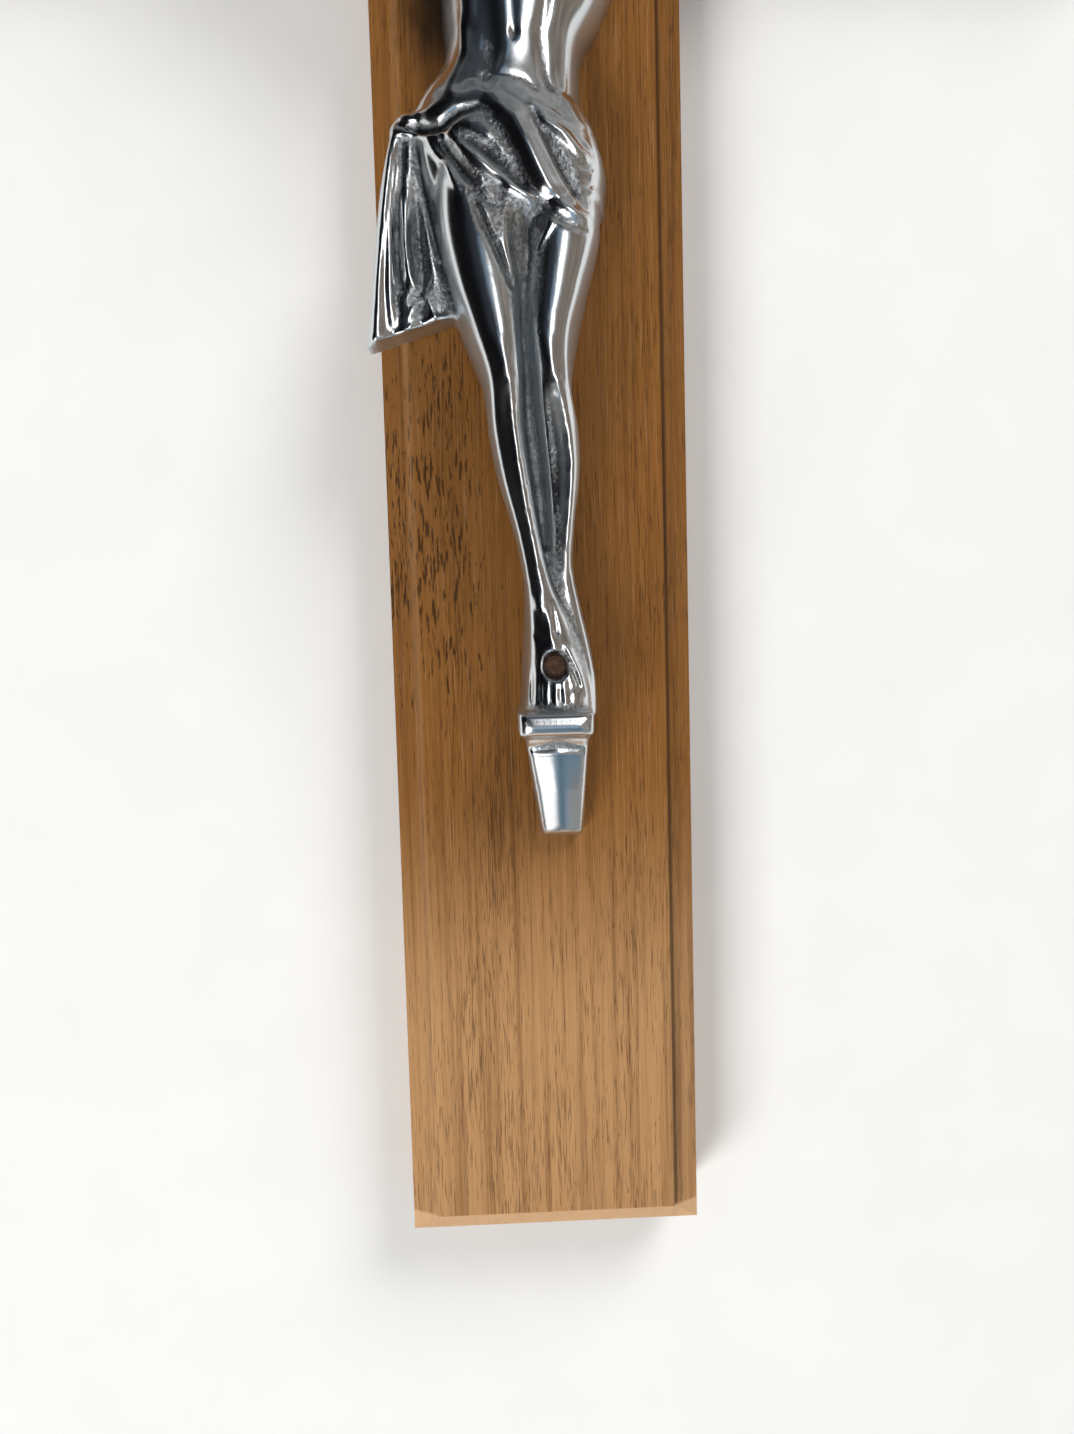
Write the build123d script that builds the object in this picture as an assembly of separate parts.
import math
import os

from build123d import *

# Wooden cross, its foot and its boards
stem_height = 444.5
crossbar_length = 266.7
board_width = 63.5
board_thickness = 19.0
bevel_width = 5.6
end_bevel_width = 4.5
bevel_drop = 3.0
panel_step = 0.9
lap_play = 0.1
lap_depth_share = 0.5

# Drilled hole in the back that the wall hook enters
hanging_hole_drop = 42.0
hanging_hole_diameter = 8.0
hanging_hole_depth = 11.0

# Cast figure: how tall, how far it stands off the wood, where its soles are
stature = 200.0
relief_depth = 20.0
sole_height = 116.0
head_tilt_angle = 13.0

# Ledge under the feet and the tapering bracket below it, in the same casting
footrest_width = 14.8
footrest_thickness = 4.2
footrest_projection = 20.0
footrest_round = 1.0
bracket_height = 22.6
bracket_top_width = 12.6
bracket_top_projection = 17.0
bracket_foot_width = 9.0
bracket_foot_projection = 3.6

# Nails through the hands and feet
nail_head_diameter = 4.6
nail_head_height = 1.3
nail_head_chamfer = 0.5
nail_shank_diameter = 2.0
nail_point_length = 3.0
nail_bite = 12.0
nail_play = 0.1
nail_pocket_play = 0.4

# Screws that hold the halved joint from the back
lap_screw_spread = 16.0
lap_screw_length = 15.0
lap_screw_head_diameter = 8.0
lap_screw_shank_diameter = 3.5
lap_screw_slot_width = 1.0
lap_screw_slot_depth = 0.9
lap_screw_play = 0.1

# Places on the figure, as shares of its stature and of its relief
palm_across_share = 0.4525
palm_height_share = 1.0325
palm_seat_share = 0.30
foot_nail_across_share = 0.009
foot_nail_height_share = 0.049
foot_nail_seat_share = 0.775
head_pivot_across_share = -0.005
head_pivot_height_share = 0.93
footrest_middle_share = 0.0085
bracket_top_middle_share = 0.0095
bracket_foot_middle_share = 0.0155

# Relief rows, ruled from one to the next: station, middle, foot half, wall half,
# then the depths of back, shoulder and crown, and how far the crown leans aside
torso_shares = (
    (0.500, -0.0200, 0.0875, 0.0775, -0.05, 0.40, 0.82, 0.0),
    (0.550, -0.0290, 0.0940, 0.0830, -0.05, 0.40, 0.83, 0.0),
    (0.585, -0.0335, 0.0910, 0.0790, -0.05, 0.40, 0.81, 0.0),
    (0.605, -0.0290, 0.0830, 0.0720, -0.05, 0.40, 0.77, 0.0),
    (0.625, -0.0205, 0.0735, 0.0640, -0.05, 0.40, 0.77, 0.0),
    (0.650, -0.0140, 0.0700, 0.0610, -0.05, 0.42, 0.79, 0.0),
    (0.685, -0.0045, 0.0805, 0.0695, -0.05, 0.45, 0.82, 0.0),
    (0.740, 0.0050, 0.0910, 0.0790, -0.05, 0.50, 0.87, 0.0),
    (0.785, 0.0055, 0.0975, 0.0855, -0.05, 0.52, 0.89, 0.0),
    (0.803, 0.0055, 0.1000, 0.0880, -0.05, 0.56, 0.97, 0.0),
    (0.832, 0.0045, 0.1040, 0.0905, -0.05, 0.56, 0.99, 0.0),
    (0.862, 0.0030, 0.1030, 0.0880, -0.05, 0.48, 0.88, 0.0),
    (0.885, 0.0000, 0.0800, 0.0650, -0.05, 0.40, 0.74, 0.0),
    (0.910, -0.0025, 0.0425, 0.0350, -0.05, 0.35, 0.72, 0.0),
    (0.945, -0.0050, 0.0325, 0.0275, -0.05, 0.40, 0.80, 0.0),
)
right_leg_shares = (
    (0.5400, -0.0525, 0.0425, 0.0365, 0.050, 0.400, 0.85, 0.0),
    (0.4750, -0.0540, 0.0425, 0.0360, 0.050, 0.425, 0.93, 0.0),
    (0.4100, -0.0470, 0.0375, 0.0290, 0.075, 0.450, 0.98, 0.0025),
    (0.3700, -0.0405, 0.0310, 0.0220, 0.100, 0.475, 1.00, 0.0040),
    (0.3250, -0.0330, 0.0215, 0.0155, 0.125, 0.500, 0.99, 0.0030),
    (0.2800, -0.0310, 0.0190, 0.0145, 0.150, 0.500, 0.90, 0.0045),
    (0.2300, -0.0240, 0.0165, 0.0135, 0.175, 0.475, 0.85, 0.0045),
    (0.1750, -0.0130, 0.0125, 0.0110, 0.200, 0.475, 0.78, 0.0025),
    (0.1250, -0.0035, 0.0150, 0.0125, 0.200, 0.475, 0.75, 0.0010),
    (0.0850, 0.0060, 0.0265, 0.0210, 0.100, 0.475, 0.78, 0.0),
    (0.0450, 0.0115, 0.0345, 0.0285, 0.050, 0.500, 0.84, 0.0),
    (0.0175, 0.0125, 0.0375, 0.0315, 0.000, 0.550, 0.87, 0.0),
    (-0.0050, 0.0115, 0.0385, 0.0325, -0.05, 0.600, 0.86, 0.0),
)
left_leg_shares = (
    (0.520, 0.0240, 0.0465, 0.0380, 0.050, 0.400, 0.76, 0.0),
    (0.475, 0.0270, 0.0425, 0.0340, 0.050, 0.400, 0.86, 0.0),
    (0.410, 0.0185, 0.0350, 0.0250, 0.075, 0.425, 0.88, 0.0),
    (0.370, 0.0125, 0.0320, 0.0195, 0.100, 0.450, 0.90, -0.0010),
    (0.325, 0.0135, 0.0235, 0.0165, 0.125, 0.475, 0.88, 0.0),
    (0.285, 0.0180, 0.0250, 0.0185, 0.125, 0.450, 0.79, 0.0020),
    (0.245, 0.0215, 0.0220, 0.0170, 0.125, 0.425, 0.74, 0.0040),
    (0.190, 0.0205, 0.0155, 0.0125, 0.150, 0.425, 0.68, 0.0030),
    (0.145, 0.0190, 0.0145, 0.0110, 0.150, 0.425, 0.63, 0.0020),
    (0.105, 0.0255, 0.0155, 0.0115, 0.150, 0.410, 0.61, 0.0),
    (0.070, 0.0325, 0.0165, 0.0120, 0.100, 0.400, 0.62, 0.0),
    (0.035, 0.0395, 0.0145, 0.0110, 0.050, 0.400, 0.62, 0.0),
    (-0.005, 0.0415, 0.0120, 0.0100, -0.05, 0.400, 0.60, 0.0),
)
shin_web_shares = (
    (0.430, -0.0190, 0.0220, 0.0200, 0.10, 0.62, 0.72, 0.0),
    (0.380, -0.0155, 0.0200, 0.0180, 0.10, 0.54, 0.62, 0.0),
    (0.325, -0.0120, 0.0180, 0.0160, 0.12, 0.50, 0.56, 0.0),
    (0.250, -0.0060, 0.0160, 0.0150, 0.15, 0.45, 0.50, 0.0),
    (0.175, 0.0030, 0.0140, 0.0130, 0.18, 0.42, 0.47, 0.0),
    (0.100, 0.0120, 0.0120, 0.0110, 0.18, 0.42, 0.47, 0.0),
)
cloth_shares = (
    (0.610, -0.0250, 0.0850, 0.0740, 0.0, 0.45, 0.84, 0.0),
    (0.560, -0.0225, 0.0960, 0.0850, 0.0, 0.45, 0.91, 0.0),
    (0.510, -0.0090, 0.0850, 0.0760, 0.0, 0.45, 0.95, 0.0),
    (0.460, -0.0040, 0.0780, 0.0690, 0.0, 0.45, 0.98, 0.0),
    (0.400, -0.0150, 0.0600, 0.0520, 0.0, 0.45, 1.00, 0.0),
)
arm_shares = (
    (0.030, 0.8420, 0.0260, 0.0210, -0.05, 0.350, 0.66, 0.0),
    (0.070, 0.8550, 0.0420, 0.0350, -0.05, 0.400, 0.84, 0.0),
    (0.110, 0.8725, 0.0425, 0.0350, -0.05, 0.400, 0.87, 0.0),
    (0.160, 0.8975, 0.0330, 0.0265, -0.05, 0.375, 0.77, 0.0),
    (0.215, 0.9250, 0.0285, 0.0230, -0.05, 0.350, 0.71, 0.0),
    (0.270, 0.9500, 0.0240, 0.0195, -0.05, 0.325, 0.63, 0.0),
    (0.315, 0.9700, 0.0255, 0.0205, -0.05, 0.300, 0.60, 0.0),
    (0.370, 0.9950, 0.0195, 0.0155, -0.05, 0.250, 0.48, 0.0),
    (0.415, 1.0150, 0.0155, 0.0125, -0.05, 0.200, 0.40, 0.0),
)
palm_shares = (
    (0.405, 1.0105, 0.0165, 0.0135, -0.05, 0.20, 0.41, 0.0),
    (0.435, 1.0240, 0.0230, 0.0195, -0.05, 0.20, 0.39, 0.0),
    (0.465, 1.0380, 0.0275, 0.0240, -0.05, 0.18, 0.35, 0.0),
    (0.487, 1.0475, 0.0270, 0.0240, -0.05, 0.16, 0.28, 0.0),
)
face_shares = (
    (0.885, -0.0150, 0.0090, 0.0070, 0.50, 0.80, 1.00, 0.0),
    (0.905, -0.0150, 0.0190, 0.0160, 0.40, 0.80, 1.12, 0.0),
    (0.930, -0.0140, 0.0300, 0.0260, 0.30, 0.75, 1.19, 0.0),
    (0.960, -0.0130, 0.0360, 0.0320, 0.20, 0.70, 1.22, 0.0),
    (0.990, -0.0120, 0.0380, 0.0330, 0.10, 0.65, 1.20, 0.0),
    (1.015, -0.0110, 0.0330, 0.0270, 0.10, 0.60, 1.09, 0.0),
    (1.030, -0.0105, 0.0230, 0.0180, 0.10, 0.50, 0.90, 0.0),
)
hair_shares = (
    (0.860, -0.0090, 0.0480, 0.0430, -0.05, 0.55, 0.78, 0.0),
    (0.895, -0.0110, 0.0510, 0.0450, -0.05, 0.55, 0.86, 0.0),
    (0.945, -0.0120, 0.0505, 0.0440, -0.05, 0.55, 0.94, 0.0),
    (0.985, -0.0115, 0.0500, 0.0440, -0.05, 0.50, 1.00, 0.0),
    (1.015, -0.0110, 0.0450, 0.0390, -0.05, 0.48, 0.94, 0.0),
    (1.036, -0.0105, 0.0350, 0.0300, -0.05, 0.45, 0.82, 0.0),
    (1.050, -0.0105, 0.0180, 0.0150, -0.05, 0.40, 0.62, 0.0),
)

# Knot of the loincloth: across, height, depth, then half sizes across, in depth and in height
knot_shares = (-0.112, 0.572, 0.26, 0.027, 0.32, 0.017)

nose_shares = (
    (0.980, -0.0120, 0.0050, 0.0030, 0.90, 1.15, 1.22, 0.0),
    (0.962, -0.0125, 0.0065, 0.0045, 0.90, 1.20, 1.31, 0.0),
    (0.948, -0.0130, 0.0085, 0.0070, 0.90, 1.20, 1.36, 0.0),
    (0.943, -0.0130, 0.0070, 0.0055, 0.90, 1.18, 1.27, 0.0),
)

# Digits with a blunt tip: across, height and depth of root, knuckle and tip, then half thicknesses
fingertip_share = 0.6
digit_sides = 8
digit_shares = (
    ((0.4715, 1.0635, 0.16), (0.4970, 1.0800, 0.26), (0.5180, 1.0925, 0.22), (0.0070, 0.0066, 0.0052)),
    ((0.4770, 1.0515, 0.16), (0.5070, 1.0665, 0.26), (0.5330, 1.0790, 0.22), (0.0072, 0.0068, 0.0054)),
    ((0.4830, 1.0385, 0.16), (0.5120, 1.0490, 0.26), (0.5370, 1.0580, 0.22), (0.0070, 0.0066, 0.0052)),
    ((0.4870, 1.0270, 0.15), (0.5120, 1.0325, 0.24), (0.5325, 1.0365, 0.20), (0.0062, 0.0058, 0.0046)),
    ((0.4300, 1.0440, 0.20), (0.4440, 1.0675, 0.26), (0.4650, 1.0830, 0.25), (0.0092, 0.0080, 0.0060)),
)

# Loincloth as seen from the front, from the knot over the waistband and back along the hem
waistband_shares = (
    (-0.125, 0.540),
    (-0.105, 0.556),
    (-0.069, 0.579),
    (-0.016, 0.588),
    (0.017, 0.570),
    (0.056, 0.531),
    (0.085, 0.505),
)
hem_shares = (
    (0.085, 0.455),
    (0.053, 0.464),
    (0.022, 0.469),
    (-0.002, 0.445),
    (-0.0235, 0.4065),
    (-0.040, 0.435),
    (-0.060, 0.474),
    (-0.084, 0.512),
    (-0.125, 0.540),
)

# Hanging end of the loincloth: height, middle, half width, depth, slope of the section in degrees
drape_shares = (
    (0.578, -0.1150, 0.0200, 0.50, 0.0),
    (0.530, -0.1165, 0.0310, 0.50, 4.0),
    (0.450, -0.1205, 0.0390, 0.47, 10.0),
    (0.381, -0.1225, 0.0480, 0.45, 17.0),
)
flute_shares = (
    (-1.0, 0.55),
    (-0.85, 0.92),
    (-0.68, 1.0),
    (-0.50, 0.86),
    (-0.42, 0.70),
    (-0.30, 0.88),
    (-0.12, 1.0),
    (0.08, 0.88),
    (0.20, 0.70),
    (0.34, 0.88),
    (0.55, 0.98),
    (0.80, 0.86),
    (1.0, 0.55),
)

stem_foot = hanging_hole_drop - stem_height
stem_middle = hanging_hole_drop - stem_height / 2
sole_level = stem_foot + sole_height
bar_level = sole_level + palm_height_share * stature
lap_depth = lap_depth_share * board_thickness
lap_screw_head_height = (lap_screw_head_diameter - lap_screw_shank_diameter) / 2


def spot(across, height, depth):
    return Vector(across * stature, -board_thickness - depth * relief_depth, sole_level + height * stature)


def level_plane(height):
    return Plane(origin=spot(0, height, 0), x_dir=(1, 0, 0), z_dir=(0, 0, -1))


def side_plane(across):
    return Plane(origin=spot(across, 0, 0), x_dir=(0, 0, 1), z_dir=(1, 0, 0))


def relief_face(plane, middle, foot, wall, back, shoulder, crown, lean):
    peak = (middle + lean, shoulder)
    rise = crown - shoulder
    right_bow = EllipticalCenterArc(peak, wall - lean, rise, start_angle=0, arc_size=90)
    left_bow = EllipticalCenterArc(peak, wall + lean, rise, start_angle=90, arc_size=90)
    left_wall = Line((middle - wall, shoulder), (middle - foot, back))
    back_line = Line((middle - foot, back), (middle + foot, back))
    right_wall = Line((middle + foot, back), (middle + wall, shoulder))
    return plane * make_face([right_bow, left_bow, left_wall, back_line, right_wall])


def relief(rows_shares, plane_at):
    faces = []
    for station, middle, foot, wall, back, shoulder, crown, lean in rows_shares:
        across = [share * stature for share in (middle, foot, wall)]
        depths = [share * relief_depth for share in (back, shoulder, crown)]
        faces.append(relief_face(plane_at(station), *across, *depths, lean * stature))
    return loft(faces, ruled=True)


def swell(across, height, depth, half_across, half_depth, half_height):
    stretch = (half_across, half_depth * relief_depth / stature, half_height)
    return Pos(*spot(across, height, depth)) * scale(Sphere(stature), by=stretch)


def digit(root, knuckle, tip, halves):
    stops = [spot(*root), spot(*knuckle), spot(*tip)]
    headings = [stops[1] - stops[0], stops[2] - stops[0], stops[2] - stops[1]]
    blunt_half = halves[2] * fingertip_share
    stops.append(stops[2] + headings[2].normalized() * blunt_half * stature)
    rings = [
        Plane(origin=stop, x_dir=(0, 1, 0), z_dir=heading) * RegularPolygon(half * stature, digit_sides)
        for stop, heading, half in zip(stops, [*headings, headings[2]], [*halves, blunt_half])
    ]
    return loft(rings, ruled=True)


def front_points(rows_shares):
    return [(across * stature, sole_level + height * stature) for across, height in rows_shares]


def cloth_room():
    band = front_points(waistband_shares)
    hem = front_points(hem_shares)
    edges = [Spline(*band), Line(band[-1], hem[0]), Polyline(*hem)]
    return extrude(facing(0, 0, board_thickness) * make_face(edges), 2 * relief_depth)


def drape_face(height, middle, half, depth, slope):
    turn = math.radians(slope)
    run = (math.cos(turn), 0, math.sin(turn))
    fall = (math.sin(turn), 0, -math.cos(turn))
    plane = Plane(origin=spot(middle, height, 0), x_dir=run, z_dir=fall)
    flutes = [(share * half * stature, rise * depth * relief_depth) for share, rise in flute_shares]
    return plane * make_face(Polyline((-half * stature, 0), *flutes, (half * stature, 0), close=True))


def ledge_face(drop, middle_share, width, projection):
    plane = level_plane(0).offset(drop) * Pos(middle_share * stature, projection / 2)
    return plane * Rectangle(width, projection)


def footrest():
    tread = ledge_face(0, footrest_middle_share, footrest_width, footrest_projection)
    block = extrude(tread, footrest_thickness)
    ledge = fillet(block.edges().filter_by(Axis.X).group_by(Axis.Y)[0], footrest_round)
    drop = footrest_thickness + bracket_height
    top = ledge_face(footrest_thickness, bracket_top_middle_share, bracket_top_width, bracket_top_projection)
    foot = ledge_face(drop, bracket_foot_middle_share, bracket_foot_width, bracket_foot_projection)
    return ledge + loft([top, foot])


def raised_board(width, length, width_bevel, length_bevel):
    arris = board_thickness - panel_step - bevel_drop
    blank = extrude(Plane.XZ * Rectangle(width, length), arris)
    ledge = Plane.XZ.offset(arris) * Rectangle(width, length)
    panel = Rectangle(width - 2 * width_bevel, length - 2 * length_bevel)
    brow = Plane.XZ.offset(arris + bevel_drop) * panel
    return blank + loft([ledge, brow]) + extrude(brow, panel_step)


def room(width, length, level, start, depth):
    return extrude(Plane.XZ.offset(start) * Pos(0, level) * Rectangle(width, length), depth)


def facing(across, level, depth):
    return Plane(origin=(across, -depth, level), x_dir=(1, 0, 0), z_dir=(0, -1, 0))


def nail(across, level, seat):
    half_shank = nail_shank_diameter / 2
    barrel = seat + nail_bite - nail_point_length
    disc = extrude(Circle(nail_head_diameter / 2), nail_head_height)
    head = chamfer(disc.edges().group_by(Axis.Z)[-1], nail_head_chamfer)
    shank = extrude(Circle(half_shank), -barrel)
    collar = Pos(0, 0, -barrel) * Rectangle(math.sqrt(2) * half_shank, math.sqrt(2) * half_shank)
    point = loft([collar, Vertex(0, 0, -barrel - nail_point_length)])
    return facing(across, level, board_thickness + seat) * (head + [shank, point])


def nail_hole(across, level, seat):
    half_hole = (nail_shank_diameter + nail_play) / 2
    half_pocket = (nail_head_diameter + nail_pocket_play) / 2
    reach = seat + nail_bite + nail_play
    mouth = facing(across, level, board_thickness + seat)
    shaft = extrude(mouth * Circle(half_hole), -reach)
    return shaft + extrude(mouth * Circle(half_pocket), relief_depth)


def lap_screw(across, level):
    half_head = lap_screw_head_diameter / 2
    half_shank = lap_screw_shank_diameter / 2
    outline = Polyline(
        (0, 0),
        (half_head, 0),
        (half_shank, lap_screw_head_height),
        (half_shank, lap_screw_length),
        (0, lap_screw_length),
        close=True,
    )
    place = facing(across, level, 0)
    body = place * revolve(Plane.XZ * make_face(outline), Axis.Z)
    slot = extrude(place * Rectangle(lap_screw_head_diameter, lap_screw_slot_width), lap_screw_slot_depth)
    return body - slot


def lap_screw_hole(across, level):
    half_head = lap_screw_head_diameter / 2
    half_hole = (lap_screw_shank_diameter + lap_screw_play) / 2
    reach = lap_screw_length + lap_screw_play
    corners = [(0, 0), (half_head, 0), (half_hole, half_head - half_hole), (half_hole, reach), (0, reach)]
    outline = Polyline(*corners, close=True)
    return facing(across, level, 0) * revolve(Plane.XZ * make_face(outline), Axis.Z)


# Figure, in one casting
trunk = relief(torso_shares, level_plane)
leg_rows = (right_leg_shares, left_leg_shares, shin_web_shares)
legs = [relief(rows_shares, level_plane) for rows_shares in leg_rows]
cloth = relief(cloth_shares, level_plane) & cloth_room()
drape = loft([drape_face(*row) for row in drape_shares], ruled=True)
knot = swell(*knot_shares)
arm = relief(arm_shares, side_plane)
palm = relief(palm_shares, side_plane)
reach_arm = arm + [palm] + [digit(*row) for row in digit_shares]
arms = [reach_arm, mirror(reach_arm, about=Plane.YZ)]
head_rows = (hair_shares, face_shares, nose_shares)
head = Part() + [relief(rows_shares, level_plane) for rows_shares in head_rows]
head_axis = Axis(spot(head_pivot_across_share, head_pivot_height_share, 0), (0, -1, 0))
head = head.rotate(head_axis, head_tilt_angle)
corpus = trunk + legs + [cloth, drape, knot] + arms + [head, footrest()]
corpus = corpus - room(crossbar_length, 2 * stem_height, stem_middle, 0, board_thickness)

# Nails
foot_nail_spot = (foot_nail_across_share * stature, sole_level + foot_nail_height_share * stature)
foot_seat = foot_nail_seat_share * relief_depth
palm_reach = palm_across_share * stature
palm_seat = palm_seat_share * relief_depth
nail_spots = {
    "foot_nail": (*foot_nail_spot, foot_seat),
    "right_hand_nail": (-palm_reach, bar_level, palm_seat),
    "left_hand_nail": (palm_reach, bar_level, palm_seat),
}
nails = {name: nail(*place) for name, place in nail_spots.items()}
nail_holes = [nail_hole(*place) for place in nail_spots.values()]
corpus = corpus - nail_holes

# Boards, halved together where they cross
stem_board = raised_board(board_width, stem_height, bevel_width, end_bevel_width)
bar_board = raised_board(crossbar_length, board_width, end_bevel_width, bevel_width)
cross = Pos(0, 0, stem_middle) * stem_board + Pos(0, 0, bar_level) * bar_board
lap_height = board_width + 2 * lap_play
stem = cross & room(board_width, stem_height, stem_middle, 0, board_thickness)
stem = stem - room(lap_height, lap_height, bar_level, 0, lap_depth)
crossbar = cross & room(crossbar_length, board_width, bar_level, 0, board_thickness)
crossbar = crossbar - room(lap_height, lap_height, bar_level, lap_depth, board_thickness)
hanging_hole = extrude(facing(0, 0, 0) * Circle(hanging_hole_diameter / 2), hanging_hole_depth)
screw_spots = {
    "upper_lap_screw": (lap_screw_spread, bar_level + lap_screw_spread),
    "lower_lap_screw": (-lap_screw_spread, bar_level - lap_screw_spread),
}
screws = {name: lap_screw(*place) for name, place in screw_spots.items()}
screw_holes = [lap_screw_hole(*place) for place in screw_spots.values()]
stem = stem - [hanging_hole] - nail_holes - screw_holes
crossbar = crossbar - nail_holes - screw_holes

nodes = {"stem": stem, "crossbar": crossbar, "corpus": corpus, **nails, **screws}
os.makedirs("parts", exist_ok=True)
for name, shape in nodes.items():
    export_step(shape, os.path.join("parts", name + ".step"))
    print(name, "ok", len(shape.solids()), round(shape.volume))
